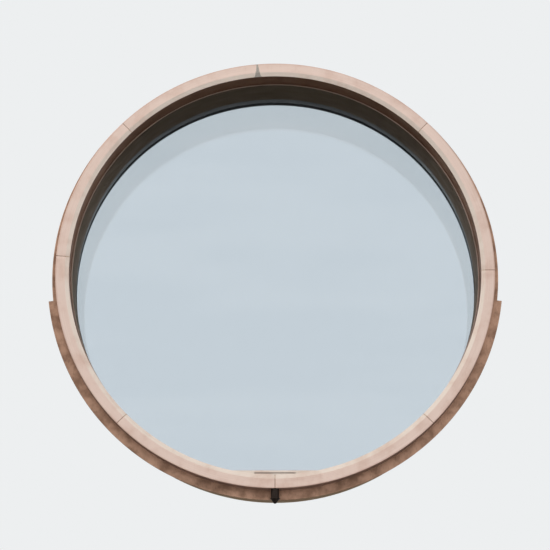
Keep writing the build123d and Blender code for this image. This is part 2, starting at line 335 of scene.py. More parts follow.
def sheet_round(name, line, turns, material, thick, waver=None, opening=None, aim=None):
    """Folded sheet carried round the window: for each clock angle a and each (r, d) of the
    line, the outer face has the point (r sin a, d, r cos a), pushed by waver(arc, run) along
    the line's normal, or along the (r, d) direction aim. Cells whose middle lies in
    opening(angle, run) are left out. Its UV map is the sheet unrolled, in metres."""
    turn = np.radians(turns)
    run = run_of(line)
    arc, across = grid(turn * line[:, 0].max(), run)
    push = waver(arc, across) if waver else 0 * arc
    normal = right_of(line) if aim is None else np.broadcast_to(aim, line.shape)
    radius = line[:, 0] + normal[:, 0] * push
    depth = line[:, 1] + normal[:, 1] * push
    points = around(radius, depth, turn[:, None])
    faces = strip(len(turn), len(line))
    if opening:
        middles = grid((turns[1:] + turns[:-1]) / 2, (run[1:] + run[:-1]) / 2)
        faces = faces[~opening(*middles)]
    unrolled = together(arc, across)
    return make(name, points, faces.reshape(-1, 4), material, unrolled, solid=thick)


def shrunk(outline, by):
    """A closed counterclockwise outline drawn in by a distance, each corner along the
    bisector of its two sides."""
    along = np.roll(outline, -1, 0) - outline
    along /= np.linalg.norm(along, axis=1, keepdims=True)
    inward = together(-along[:, 1], along[:, 0])
    before = np.roll(inward, 1, 0)
    share = np.maximum(1 + (inward * before).sum(1), 0.5)[:, None]
    return outline + by * (inward + before) / share


def bar_round(name, outline, turns, material, arris=0.0):
    """Solid bar carried round the window: the closed (r, d) outline at each clock angle, with
    the outline drawn in at both ends where they have an arris. A full turn closes on itself."""
    outline = np.asarray(outline, float)
    following = np.roll(outline, -1, 0)
    if (outline[:, 0] * following[:, 1] - following[:, 0] * outline[:, 1]).sum() < 0:
        outline = outline[::-1]
    turn = np.radians(turns)
    full = abs(turns[-1] - turns[0] - 360) < 1e-6
    if full:
        turn = turn[:-1]
    elif arris:
        edge = arris / outline[:, 0].max()
        start, stop = turn[0], turn[-1]
        turn = np.concatenate([[start, start + edge], turn[1:-1], [stop - edge, stop]])
    shapes = np.repeat(outline[None], len(turn), 0)
    if arris and not full:
        shapes[0] = shapes[-1] = shrunk(outline, arris)
    points = around(shapes[..., 0], shapes[..., 1], turn[:, None])
    count = len(outline)
    faces = strip(len(turn), count, full, True).reshape(-1, 4).tolist()
    if not full:
        last = (len(turn) - 1) * count
        faces.append(list(range(count)))
        faces.append([last + n for n in reversed(range(count))])
    run = run_of(np.concatenate([outline, outline[:1]]))[:-1]
    uv = together(*grid(turn * outline[:, 0].mean(), run))
    return make(name, points, faces, material, uv)


def turned(name, outline, places, axis, material, sides):
    """Turned pieces: the open (radius, height) outline spun round its axis, once at every
    place. The frame's Y or Z is the axis, and height runs along it. Where the outline meets
    its axis, the points of all sides become one."""
    spin = np.arange(sides) * TAU / sides
    r, h = np.asarray(outline, float).T
    flat_x, flat_y = r * np.cos(spin)[:, None], r * np.sin(spin)[:, None]
    one = together(flat_y, h, flat_x) if axis == "Y" else together(flat_x, flat_y, h)
    places = np.asarray(places, float)
    points = places[:, None, None, :] + one
    faces = strip(sides, len(r), wrap_rows=True).reshape(-1, 4)[:, ::-1]
    step = sides * len(r) * np.arange(len(places))[:, None, None]
    faces = (faces[None] + step).reshape(-1, 4)
    piece = make(name, points, faces, material)
    whole = bmesh.new()
    whole.from_mesh(piece.data)
    bmesh.ops.remove_doubles(whole, verts=whole.verts, dist=TOUCHING)
    whole.to_mesh(piece.data)
    whole.free()
    return piece


SPOUT_NECK = 19.3 * MM                      # radius of the hole in the ring for the spout
SLOT_END_MARGIN = 5 * MM                    # from the tray's ends to the sleeve's slot
SLOT_SIDE_MARGIN = 6 * MM                   # and from its sides
SILL_SLOT = (280 * MM, 6 * MM, 18 * MM)     # length, height, drop below the sill's top
SILL_SQUARE = 150 * MM                      # half the length over which its legs keep their form
SILL_LEG = 25 * MM                          # what a leg counts for in its UV map
INLETS = (5, 70 * MM, 40 * MM)              # count, pitch, length
INLET_DROP = 18 * MM                        # from the sill's top to the inlets
FACE_START = 48 * MM                        # where the flashing's flange leaves its upstand
FLANGE_WAVES = (0.41, 0.77)                 # length in metres of the two waves along it
FLANGE_FLAT = 20 * MM                       # beyond the fold, where these waves begin
LAP = (1.3 * MM, 28 * MM)                   # height and width of a lap in the flashings
LAP_RISE = 0.04                             # degrees over which it rises
APRON_LAPS, HEAD_LAPS = (135, 180, 225), (305, 360, 415)    # clock angles of the laps
NAIL_PITCH = 150 * MM                       # along the head flashing
SWELL_WAVES = (0.31, 0.53)                  # length in metres of the two waves of a broad face
SWELL_FADE = 60 * MM                        # beside a joint, where these fade out
JOINT_GAP = 4 * MM                          # between two sheets of the ring
SOLDERED = 0                                # ring segment that starts at the wiped joint
JOINT_DIP = 1.3 * MM                        # how deep the sheets are hammered down there
SOLDER_REACH = 36 * MM                      # how far from a wiped joint the dip reaches
JOINT_REACH = 14 * MM                       # and from a plain one
FOLD_EASE = 12 * MM                         # over which the dip fades before the outer fold


def stopped(line, runs):
    """The line with extra points at these distances along it."""
    have = run_of(line)
    wanted = np.unique(np.concatenate([have, runs]))
    return together(*(np.interp(wanted, have, column) for column in line.T))


def swell(amount, start, stop, phase):
    """Push of a broad face towards its core: none at its folds, and between them two sine
    waves along the arc, times a sine squared across the face."""
    first, second = SWELL_WAVES

    def push(arc, run):
        middle = np.sin(np.pi * np.clip((run - start) / (stop - start), 0, 1)) ** 2
        wave = 0.6 * np.sin(TAU * arc / first + phase)
        wave = wave + 0.4 * np.sin(TAU * arc / second + 2.1 * phase)
        return 0.5 * amount * middle * (wave - 1)
    return push


def dip(near, reach):
    """How far a sheet is hammered down near a joint: the dip times exp(-(distance/reach)^2)."""
    return JOINT_DIP * np.exp(-((near / reach) ** 2))


def joint_swell(amount, start, stop, joints, reaches, phase):
    """The swell times 1 - exp(-distance/fade) from the sheet's ends, and a dip there, where
    they were hammered down into the joints. Both are gone at the outer fold."""
    broad = swell(amount, start, stop, phase)

    def push(arc, run):
        ease = np.clip((stop - run) / FOLD_EASE, 0, 1)
        ends_dip = dip(arc - joints[0], reaches[0]) + dip(joints[1] - arc, reaches[1])
        near = np.minimum(arc - joints[0], joints[1] - arc)
        return broad(arc, run) * (1 - np.exp(-near / SWELL_FADE)) - ease * ends_dip
    return push


def lapped(waver, laps, radius, start, phase):
    """Push of a flashing's flange away from the cladding: two slow sine waves, which begin
    just beyond the fold, and the height of a lap where two sheets overlap."""
    high, wide = LAP
    first, second = FLANGE_WAVES

    def push(arc, run):
        flat = np.clip((run - start) / FLANGE_FLAT, 0, 1)
        wave = 0.5 + 0.3 * np.sin(TAU * arc / first + phase) + 0.2 * np.sin(TAU * arc / second)
        over = sum(
            (arc > math.radians(a + LAP_RISE / 2) * radius)
            & (arc < math.radians(a) * radius + wide)
            for a in laps
        )
        return flat * waver * wave + high * over
    return push


def solder_joint(name, line, angle, material, phase):
    """Solder wiped over a joint, in the dip of its sheets: across it s runs from -1 to 1, the
    half width falls from 26 mm at the reveal to 4 mm outside, in three sine waves of its own
    on either side, and the surface stands 0.55 mm (1 - s^4) over the copper, less 0.05 mm, so
    that its edges sink in."""
    run = run_of(line)
    share = run / run[-1]
    s = np.linspace(-1, 1, 25)[:, None]
    side = phase + np.where(s < 0, 0.0, 2.2)
    edge = 0.09 * np.sin(7 * share + side) + 0.06 * np.sin(19 * share + 3 * side)
    edge = edge + 0.03 * np.sin(43 * share + 5 * side)
    aside = s * (26 - 22 * share ** 0.7) * MM * (1 + edge)
    turn = math.radians(angle) + (aside - JOINT_GAP / 2) / RING_OUTER
    ease = np.clip((run[-1] - run) / FOLD_EASE, 0, 1)
    rise = ease * (0.55 * MM * (1 - s ** 4) - dip(abs(aside), SOLDER_REACH)) - 0.05 * MM
    normal = right_of(line)
    points = around(line[:, 0] + normal[:, 0] * rise, line[:, 1] + normal[:, 1] * rise, turn)
    faces = strip(len(s), len(line)).reshape(-1, 4)
    return make(name, points, faces, material, solid=0.5 * MM)


def drain_sill(thick, bend, material):
    """Folded channel, level on top: its cross-section (depth, drop below the top) is carried
    across in x, and both legs end on the sleeve, sqrt(R^2 - x^2) below the axis. The front leg
    has a long slot, the back leg five inlets."""
    radius = CLEAR - GAP
    slot_length, slot_height, slot_drop = SILL_SLOT
    count, pitch, inlet = INLETS
    reach = math.sqrt(radius ** 2 - (thick - SILL_HIGH.z) ** 2)
    bays = (np.arange(count) - (count - 1) / 2) * pitch
    stops = [-reach, reach, -SILL_SQUARE, SILL_SQUARE, -slot_length / 2, slot_length / 2]
    x = ladder(np.concatenate([stops, bays - inlet / 2, bays + inlet / 2]), SILL_CELL)
    low, high = slot_drop + slot_height / 2, slot_drop - slot_height / 2
    foot = 1.0      # stands for the drop to the sleeve, which changes with x
    near, far = SILL_LOW.y, SILL_HIGH.y
    front = [(near, foot), (near, low), (near, high)]
    fold = bent([(near, 2 * bend), (near, 0), (far, 0), (far, 2 * bend)], bend)
    back = [(far, INLET_DROP), (far, foot)]
    depth, drop = np.concatenate([front, fold, back]).T
    floor_drop = np.sqrt(radius ** 2 - x ** 2) + SILL_HIGH.z
    share = np.minimum(1, floor_drop / floor_drop[np.argmin(abs(x - SILL_SQUARE))])
    level = np.where(drop == foot, floor_drop[:, None], drop * share[:, None])
    points = together(x[:, None], depth, SILL_HIGH.z - level)
    faces = strip(len(x), len(depth))
    middle = ((x[1:] + x[:-1]) / 2)[:, None]
    row = np.arange(len(depth) - 1)
    slot = (row == 1) & (abs(middle) < slot_length / 2)
    in_bay = (abs(middle[:, :, None] - bays) < inlet / 2).any(-1)
    faces = faces[~(slot | ((row == len(depth) - 2) & in_bay))]
    run = run_of(together(depth, np.minimum(drop, SILL_LEG)))
    uv = together(*grid(x, run))
    return make("copper_drain_sill", points, faces.reshape(-1, 4), material, uv, solid=thick)


def dress(start, material):
    """Gives this material to the CAD nodes whose names start so."""
    for name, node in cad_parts.items():
        if name.startswith(start):
            node.data.materials.clear()
            node.data.materials.append(material)


# Finishes


def add(tree, kind, inputs=None, out=0, **settings):
    """Adds one node: its settings are set, each input is linked or given its value, and the
    output with this number or name comes back."""
    node = tree.nodes.new("ShaderNode" + kind)
    for key, value in settings.items():
        setattr(node, key, value)
    for key, value in (inputs or {}).items():
        if isinstance(value, bpy.types.NodeSocket):
            tree.links.new(value, node.inputs[key])
        else:
            node.inputs[key].default_value = value
    return node.outputs[out] if node.outputs else node


def finish(name):
    """New material, its node tree, and where a point lies on its piece."""
    material = bpy.data.materials.new(name)
    material.use_nodes = True
    tree = material.node_tree
    return material, tree, add(tree, "TexCoord", out="Object")


def shade(tree, body, relief=None, rough=None, **sockets):
    """Links the body colour to the shader, and sets its other sockets to constants or links
    patterns to them. A relief is a height from 0 to 1 and the depth it stands for, in metres.
    Where rough is given, it is a pattern, two of its values and the roughness at each."""
    shader = tree.nodes["Principled BSDF"]
    sockets["Base_Color"] = body
    if relief:
        sockets["Normal"] = add(tree, "Bump", {"Height": relief[0], "Distance": relief[1]})
    if rough:
        sockets["Roughness"] = add(tree, "MapRange", dict(enumerate(rough)))
    for key, value in sockets.items():
        socket = shader.inputs[key.replace("_", " ")]
        if isinstance(value, bpy.types.NodeSocket):
            tree.links.new(value, socket)
        else:
            socket.default_value = value


def spots(tree, where, millimetres, detail=4.0, rough=0.55):
    """Noise from 0 to 1 around 0.5, whose spots have these sizes along the three axes."""
    shares = tuple(1 / (size * MM) for size in millimetres)
    near = add(tree, "VectorMath", {0: where, 1: shares}, operation="MULTIPLY")
    return add(
        tree, "TexNoise", {"Vector": near, "Scale": 1.0, "Detail": detail, "Roughness": rough}
    )


def coats(tree, base, *layers):
    """Colours laid over each other. Each layer is a pattern, the two values between which its
    cover grows from nothing to the share that follows, and its colour."""
    for pattern, low, high, cover, tone in layers:
        share = add(
            tree, "MapRange", {0: pattern, 1: low, 2: high, 4: cover},
            interpolation_type="SMOOTHSTEP",
        )
        base = add(tree, "Mix", {0: share, 6: base, 7: tone}, out=2, data_type="RGBA")
    return base


def ring_folds(p):
    """Distances along the ring's sheet, from its inner edge, to its front and its outer fold."""
    slope = math.hypot(p.bevel_width, p.bevel_depth)
    return slope, slope + RING_OUTER - CLEAR - p.bevel_width


def polar(tree, where):
    """Where a point lies round the window, as a vector of arc length, radius and depth, and
    the three on their own."""
    parts = add(tree, "SeparateXYZ", {0: where}).node.outputs
    flat = add(tree, "CombineXYZ", {0: parts[0], 1: parts[2]})
    radius = add(tree, "VectorMath", {0: flat}, out="Value", operation="LENGTH")
    turn = add(tree, "Math", {0: parts[0], 1: parts[2]}, operation="ARCTAN2")
    arc = add(tree, "Math", {0: turn, 1: CASING_OUTER}, operation="MULTIPLY")
    return add(tree, "CombineXYZ", {0: arc, 1: radius, 2: parts[1]}), arc, radius, parts[1]


def copper_rolled():
    """Copper sheet, cold rolled and folded, in its first seasons outdoors: salmon pink and
    satin, clouded by tarnish a hand wide, brown along the outer fold and streaked where water
    ran off it. The slope at the inner edge is paler and cooler, partly copper that rain washes
    and partly a painted highlight; the return behind the outer fold is dark brown all round,
    painted shade under the ring."""
    p = bpy.context.scene.oculus_copper
    material, tree, where = finish("copper_sheet_rolled")
    sheet = add(tree, "UVMap", uv_map="unrolled")
    across = add(tree, "SeparateXYZ", {0: sheet}, out=1)
    slope, fold = ring_folds(p)
    cloud = spots(tree, where, (170, 170, 170), 5.0, 0.6)
    hand = spots(tree, where, (45, 45, 45), 4.0, 0.65)
    lines = spots(tree, sheet, (700, 3.5, 1000), 3.0)
    runs = spots(tree, where, (7, 7, 120), 3.0)
    body = coats(
        tree, tuple(p.ring_cool),
        # The bevel's paler colour is partly a painted highlight, partly copper that rain washes
        (across, 0.90 * slope, 1.10 * slope, 1.0, tuple(p.ring)),
        (cloud, 0.46, 0.72, 0.40, linear("#D0AC9A")),
        (hand, 0.50, 0.78, 0.35, linear("#EED6C9")),
        (across, fold - 14 * MM, fold + 1 * MM, 0.40, tuple(p.ring_brown)),
        # Painted shade: the return behind the outer fold is dark brown all round, for the shade
        # under the ring
        (across, fold, fold + 5 * MM, 0.65, linear("#7C5A49")),
        (lines, 0.42, 0.72, 0.16, tuple(p.ring_brown)),
        (runs, 0.56, 0.80, 0.20, linear("#C09B88")),
    )
    rough = (cloud, 0.3, 0.75, 0.40, 0.56)
    shade(tree, body, (lines, 0.012 * MM), rough, Metallic=1.0)
    return material


def copper_weathered():
    """Copper sheet flashing, folded and years under splashing rain: brown and nearly matt,
    with darker blotches a hand wide and a fine dark fleck."""
    p = bpy.context.scene.oculus_copper
    material, tree, where = finish("copper_sheet_weathered")
    cloud = spots(tree, where, (90, 90, 90), 6.0, 0.62)
    fleck = spots(tree, where, (9, 9, 26), 4.0)
    body = coats(
        tree, tuple(p.flashing),
        (cloud, 0.38, 0.68, 0.8, linear("#93735F")),
        (fleck, 0.52, 0.76, 0.45, linear("#6E5648")),
    )
    rough = (cloud, 0.3, 0.7, 0.42, 0.60)
    shade(tree, body, (fleck, 0.06 * MM), rough, Metallic=1.0)
    return material


def copper_shade_darkened():
    """Copper sleeve in the reveal, rolled to the curve and sheltered from rain: an even brown,
    darker than the ring's copper as painted shade of the deep reveal, with a soft shine and
    paler marks where drops ran down it."""
    p = bpy.context.scene.oculus_copper
    material, tree, where = finish("copper_sleeve_shade_darkened")
    cloud = spots(tree, where, (140, 100, 140), 5.0, 0.6)
    drip = spots(tree, where, (9, 9, 240), 3.0)
    body = coats(
        tree, tuple(p.sleeve),
        (cloud, 0.38, 0.68, 0.9, linear("#7B5742")),
        (drip, 0.52, 0.78, 0.35, linear("#B5937D")),
    )
    rough = (cloud, 0.3, 0.7, 0.34, 0.48)
    tint = linear("#E6D2C8")
    shade(tree, body, (cloud, 0.2 * MM), rough, Metallic=1.0, Specular_Tint=tint)
    return material


def solder_wiped():
    """Tin solder, wiped over a joint with a cloth while warm: dull grey with ridges across
    the joint and a darker oxide in the hollows."""
    p = bpy.context.scene.oculus_copper
    material, tree, where = finish("solder_wiped")
    wipe = spots(tree, where, (3, 26, 10), 4.0)
    body = coats(tree, tuple(p.solder), (wipe, 0.42, 0.70, 0.8, linear("#8E8780")))
    shade(tree, body, (wipe, 0.25 * MM), Metallic=1.0, Roughness=0.55)
    return material


def panel_coated():
    """Composite liner panels, their aluminium face roller coated matt dark bronze with metal
    flake: faint roller lines along the arc, duller and browner where dust lies, and a pale
    sawn edge in front, partly the bare edge and partly a painted highlight along the reveal."""
    p = bpy.context.scene.oculus_reveal
    material, tree, where = finish("composite_panel_coated")
    where, _, _, depth = polar(tree, where)
    lines = spots(tree, where, (400, 40, 2.5), 3.0)
    dust = spots(tree, where, (220, 200, 90), 5.0, 0.6)
    # The pale bare edge in front is partly a painted highlight
    bare, coated = LINER_FRONT + 0.9 * MM, LINER_FRONT + 1.1 * MM
    body = coats(
        tree, tuple(p.liner_edge),
        (depth, bare, coated, 1.0, tuple(p.liner)),
        (dust, 0.46, 0.74, 0.40, linear("#7C6C5B")),
        (lines, 0.45, 0.72, 0.25, linear("#4A3B2E")),
    )
    rough = (dust, 0.3, 0.75, 0.36, 0.58)
    metal = add(tree, "MapRange", {0: depth, 1: bare, 2: coated, 3: 0.2, 4: 0.9})
    tint = linear("#C4B8AF")
    shade(tree, body, (lines, 0.02 * MM), rough, Metallic=metal, Specular_Tint=tint)
    return material


def timber_laminated():
    """Spruce laminated timber, planed: lamellae bent round the window, each board with its own
    tone and with grain along the arc, thin brown glue lines between them."""
    p = bpy.context.scene.oculus_timber
    material, tree, where = finish("spruce_glued_laminated")
    where, _, radius, depth = polar(tree, where)
    layer = add(tree, "Math", {0: radius, 1: p.lamella}, operation="DIVIDE")
    board = add(tree, "Math", {0: depth, 1: p.board}, operation="DIVIDE")
    cells = [add(tree, "Math", {0: line}, operation="FLOOR") for line in (layer, board)]
    seat = add(tree, "CombineXYZ", {0: cells[0], 1: cells[1]})
    tone = add(tree, "TexWhiteNoise", {"Vector": seat}, noise_dimensions="3D")
    # Every board is cut from another place of the tree
    own = add(
        tree, "VectorMath", {0: seat, 1: (3.7, 0.19, 0.31), 2: where}, operation="MULTIPLY_ADD"
    )
    grain = spots(tree, own, (550, 6, 10))
    pore = spots(tree, own, (30, 0.8, 1.2), 2.0)
    near = [add(tree, "Math", {0: line}, operation="FRACT") for line in (layer, board)]
    joint = add(tree, "Math", {0: near[0], 1: near[1]}, operation="MINIMUM")
    body = coats(
        tree, tuple(p.early),
        (grain, 0.36, 0.66, 1.0, tuple(p.late)),
        (tone, 0.0, 1.0, 0.36, linear("#C69A66")),
        (pore, 0.56, 0.80, 0.30, linear("#9C7247")),
        (joint, 0.034, 0.022, 0.85, tuple(p.glue)),
    )
    rough = (grain, 0.3, 0.7, 0.52, 0.66)
    shade(tree, body, (grain, 0.2 * MM), rough)
    return material


def plywood_birch():
    """Birch plywood, sawn: pale faces with fine grain, and darker plies on the edges."""
    p = bpy.context.scene.oculus_timber
    material, tree, where = finish("birch_plywood_sawn")
    where, arc, _, _ = polar(tree, where)
    ply = add(tree, "Math", {0: arc, 1: 3.0 * MM}, operation="PINGPONG")
    grain = spots(tree, where, (4, 200, 6), 3.0)
    body = coats(
        tree, tuple(p.ply),
        (grain, 0.38, 0.68, 1.0, linear("#B99A6E")),
        (ply, 1.4 * MM, 1.6 * MM, 0.6, linear("#8C6B45")),
    )
    shade(tree, body, (grain, 0.1 * MM), Roughness=0.62)
    return material


def timber_painted():
    """Timber with sprayed grey paint: satin, the grain telegraphing through along the arc and
    a little chalking in patches."""
    p = bpy.context.scene.oculus_glazing
    material, tree, where = finish("timber_painted_satin")
    where = polar(tree, where)[0]
    grain = spots(tree, where, (350, 4, 6), 3.0)
    cloud = spots(tree, where, (300, 80, 80))
    body = coats(
        tree, tuple(p.paint),
        (cloud, 0.42, 0.70, 0.6, linear("#595B58")),
        (grain, 0.54, 0.76, 0.25, linear("#3C3E3E")),
    )
    rough = (cloud, 0.3, 0.7, 0.34, 0.46)
    shade(tree, body, (grain, 0.12 * MM), rough, Coat_Weight=0.12, Coat_Roughness=0.3)
    return material


def glass(name, tint, wave):
    """Float glass, cut and tempered: mirror smooth, its picture bent a little by the roller
    wave, and faintly blue where it is coated."""
    material, tree, where = finish(name)
    roll = spots(tree, where, (1400, 1000, 300), 1.0)
    body = coats(tree, tuple(tint), (roll, 0.35, 0.65, 0.03, linear("#A9BACA")))
    shade(tree, body, (roll, wave), Roughness=0.0, IOR=1.52, Transmission_Weight=1.0)
    return material


def rubber_extruded():
    """Rubber gasket, extruded: black and dull, with die lines along the arc."""
    p = bpy.context.scene.oculus_glazing
    material, tree, where = finish("rubber_extruded")
    die = spots(tree, polar(tree, where)[0], (500, 1.2, 1.2), 2.0)
    body = coats(tree, tuple(p.rubber), (die, 0.42, 0.70, 0.6, linear("#303131")))
    shade(tree, body, (die, 0.08 * MM), Roughness=0.62)
    return material


def block_moulded():
    """Polypropylene blocks, moulded: dark grey-green with a fine spark grain."""
    material, tree, where = finish("polypropylene_moulded")
    grain = spots(tree, where, (2, 2, 2), 2.0)
    body = coats(tree, linear("#3B4A44"), (grain, 0.38, 0.66, 1.0, linear("#46564F")))
    shade(tree, body, (grain, 0.05 * MM), Roughness=0.5)
    return material


def steel_galvanised():
    """Steel lugs, bent and hot-dip galvanised: grey zinc with spangles 12 mm across."""
    material, tree, where = finish("steel_galvanised_dipped")
    near = add(tree, "VectorMath", {0: where, 1: (83.0, 83.0, 83.0)}, operation="MULTIPLY")
    flake = add(tree, "TexVoronoi", {"Vector": near, "Scale": 1.0}, out="Color")
    body = coats(tree, linear("#A3A8AA"), (flake, 0.2, 0.8, 1.0, linear("#C3C7C8")))
    rough = (flake, 0.0, 1.0, 0.34, 0.55)
    shade(tree, body, rough=rough, Metallic=1.0)
    return material


def steel_plated():
    """Steel screws, cold headed and zinc plated: bright, worn darker at the drive."""
    material, tree, where = finish("steel_zinc_plated")
    wear = spots(tree, where, (2, 2, 2), 2.0)
    body = coats(tree, linear("#C9CCCE"), (wear, 0.45, 0.68, 1.0, linear("#8F9294")))
    rough = (wear, 0.3, 0.7, 0.25, 0.45)
    shade(tree, body, rough=rough, Metallic=1.0)
    return material


def spout_blackened():
    """Copper spout, spun and blackened with a sulphur bath: dark brown to black and satin, with
    grey dust and drop marks down its side, and brown copper showing through on the bead."""
    material, tree, where = finish("copper_spun_blackened")
    dust = spots(tree, where, (18, 18, 55))
    rub = spots(tree, where, (6, 6, 4), 3.0)
    body = coats(
        tree, linear("#2E2520"),
        (dust, 0.48, 0.74, 0.45, linear("#57493F")),
        (rub, 0.60, 0.78, 0.40, linear("#7A5A48")),
    )
    rough = (dust, 0.3, 0.7, 0.34, 0.52)
    shade(tree, body, (dust, 0.05 * MM), rough, Metallic=0.8)
    return material


# Operators


class OCULUS_OT_ring(bpy.types.Operator):
    """Copper ring: eight folded sheets with a hemmed back edge, one joint wiped with solder"""

    bl_idname = "oculus.ring"
    bl_label = "Copper Ring"

    def execute(self, context):
        p = context.scene.oculus_copper
        copper = copper_rolled()
        slope, face_end = ring_folds(p)
        spout_run = face_end + (SPOUT_LOW.y + SPOUT_HIGH.y) / 2 - RING_FRONT
        front = [
            (CLEAR, RING_FRONT + p.bevel_depth),
            (CLEAR + p.bevel_width, RING_FRONT),
            (RING_OUTER, RING_FRONT),
        ]
        folded = bent([*front, (RING_OUTER, RING_BACK - p.sheet)], [0.7 * p.bend, p.bend])
        folded = divided(hemmed(folded, p.hem), RING_CELL)
        folded = stopped(folded, [spout_run - SPOUT_NECK, spout_run + SPOUT_NECK])
        neck_turn = math.degrees(SPOUT_NECK / RING_OUTER)
        neck_sides = (180 - neck_turn, 180 + neck_turn)

        def neck_hole(angle, run):
            """Cells that the spout's neck goes through."""
            return (abs(angle - 180) < neck_turn) & (abs(run - spout_run) < SPOUT_NECK)

        for number, node in enumerate(RINGS):
            start, stop = ends(node)
            inside = [side for side in neck_sides if start < side < stop]
            turns = ladder([start, stop, *inside], RING_STEP)
            joints = np.radians([start, stop]) * RING_OUTER
            reaches = [
                SOLDER_REACH if joint % len(RINGS) == SOLDERED else JOINT_REACH
                for joint in (number, number + 1)
            ]
            push = joint_swell(p.waver, slope, face_end, joints, reaches, number)
            piece = sheet_round(f"copper_{node}", folded, turns, copper, p.sheet, push, neck_hole)
            stand_in(piece, "copper_ring", node)

        # The solder stops 2 mm before the outer fold
        across = bent([*front[:2], (RING_OUTER - 2 * MM, RING_FRONT)], [0.7 * p.bend])
        across = divided(across, SOLDER_CELL)
        joint = ends(RINGS[SOLDERED])[0]
        stand_in(solder_joint("solder_joint", across, joint, solder_wiped(), 0.4), "copper_ring")
        return {"FINISHED"}


class OCULUS_OT_flashings(bpy.types.Operator):
    """Sill apron and head flashing, each hemmed forwards, with copper nails in the head"""

    bl_idname = "oculus.flashings"
    bl_label = "Flashings"

    def execute(self, context):
        p = context.scene.oculus_copper
        copper = copper_weathered()
        upright = spread("sill_apron")[0] + p.sheet
        face = CLADDING - p.sheet
        for node, outer, laps in (
            ("sill_apron", APRON_OUTER, APRON_LAPS),
            ("head_flashing", HEAD_OUTER, HEAD_LAPS),
        ):
            edge = outer - p.sheet - 3 * HEM_RADIUS
            line = bent([(upright, FLASHING_TOP), (upright, face), (edge, face)], 0.8 * p.bend)
            line = divided(hemmed(line, 0.8 * p.hem), FLASHING_CELL)
            start, stop = ends(node)
            push = lapped(0.9 * MM, laps, outer, FACE_START, len(laps))
            risen = [lap + LAP_RISE for lap in laps]
            turns = ladder([start, stop, *laps, *risen], FLASHING_STEP)
            piece = sheet_round(f"copper_{node}", line, turns, copper, p.sheet, push, aim=(0, -1))
            stand_in(piece, "copper_flashing", node)

        # Nails along the head, each a quarter ellipse 4.5 mm by 1.6 mm over a rim
        pitch = math.degrees(NAIL_PITCH / HEAD_OUTER)
        start, stop = ends("head_flashing")
        turn = np.radians(np.arange(start + pitch / 2, stop, pitch))
        middle = HEAD_OUTER - 0.5 * (HEAD_OUTER - RING_OUTER)
        seat = around(middle, face, turn)
        wide, high, foot = 4.5 * MM, 1.6 * MM, 0.8 * MM
        rise = np.linspace(0, math.pi / 2, 5)
        head = together(wide * np.cos(rise), -0.2 * MM - high * np.sin(rise))
        head = np.concatenate([[(0, foot), (wide, foot)], head])
        nails = turned("flashing_nails", head, seat, "Y", copper, sides=12)
        stand_in(nails, "copper_flashing")
        return {"FINISHED"}


class OCULUS_OT_reveal(bpy.types.Operator):
    """Copper sleeve and bronze liner of the reveal, in an upper and a lower half each"""

    bl_idname = "oculus.reveal"
    bl_label = "Reveal"

    def execute(self, context):
        p, lining = context.scene.oculus_copper, context.scene.oculus_reveal
        copper, coated = copper_shade_darkened(), panel_coated()
        slot_turn = math.degrees((TRAY_HIGH.x - SLOT_END_MARGIN) / CLEAR)
        slot_runs = [
            SLEEVE_INNER_END - TRAY_HIGH.y + SLOT_SIDE_MARGIN,
            SLEEVE_INNER_END - TRAY_LOW.y - SLOT_SIDE_MARGIN,
        ]
        line = divided([(CLEAR, SLEEVE_INNER_END), (CLEAR, SLEEVE_FRONT)], SLEEVE_CELL)
        line = stopped(line, slot_runs)

        def drain_slot(angle, run):
            """Cells over the drain tray."""
            return (abs(angle - 180) < slot_turn) & (run > slot_runs[0]) & (run < slot_runs[1])

        for node, stops in (
            ("reveal_sleeve_upper", []),
            ("reveal_sleeve_lower", [180 - slot_turn, 180 + slot_turn]),
        ):
            start, stop = ends(node)
            push = swell(0.5 * p.waver, 0, line[0, 1] - line[-1, 1], start)
            turns = ladder([start, stop, *stops], SLEEVE_STEP)
            piece = sheet_round(f"copper_{node}", line, turns, copper, p.sheet, push, drain_slot)
            stand_in(piece, "copper_reveal", node)

        section = rounded(
            [
                (LINER_INNER, LINER_FRONT), (LINER_OUTER, LINER_FRONT),
                (LINER_OUTER, LINER_END), (LINER_INNER, LINER_END),
            ],
            lining.arris,
        )
        for node in ("reveal_liner_upper", "reveal_liner_lower"):
            turns = ladder(ends(node), BAR_STEP)
            piece = bar_round(f"panel_{node}", section, turns, coated, lining.arris)
            stand_in(piece, "dark_liner", node)
        return {"FINISHED"}


class OCULUS_OT_drain(bpy.types.Operator):
    """Level drain sill over the reveal's lowest point, and the black spout under the ring"""

    bl_idname = "oculus.drain"
    bl_label = "Drain"

    def execute(self, context):
        p = context.scene.oculus_copper
        sill = drain_sill(p.sheet, p.bend, bpy.data.materials["copper_sheet_rolled"])
        stand_in(sill, "copper_ring", "drain_sill")

        # From the top down: neck, barrel, half-round bead, then a cone to the tip, 28 mm long
        neck, barrel, tip, wall = SPOUT_NECK - GAP, SPOUT_NECK + 8.7 * MM, 8 * MM, 2 * MM
        bead = SPOUT_HIGH.x - barrel
        top, ring_foot, end = SPOUT_HIGH.z, -RING_OUTER - GAP, SPOUT_LOW.z
        middle = end + 28 * MM + bead
        spin = np.linspace(math.pi / 2, -math.pi / 2, 9)[1:-1]
        shoulder = [(neck, top), (neck, ring_foot), (barrel, ring_foot), (barrel, middle + bead)]
        cone = [(barrel, middle - bead), (tip, end), (tip - wall, end), (neck - wall, middle)]
        outside = np.concatenate(
            [
                bent(shoulder, 1.2 * MM),
                together(barrel + bead * np.cos(spin), middle + bead * np.sin(spin)),
                bent(cone, 0.8 * MM),
                [(neck - wall, top), (neck, top)],
            ]
        )
        axis = [(0, (SPOUT_LOW.y + SPOUT_HIGH.y) / 2, 0)]
        spout = turned("black_drain_spout", outside, axis, "Z", spout_blackened(), sides=72)
        stand_in(spout, "black_metal", "drain_spout")
        return {"FINISHED"}


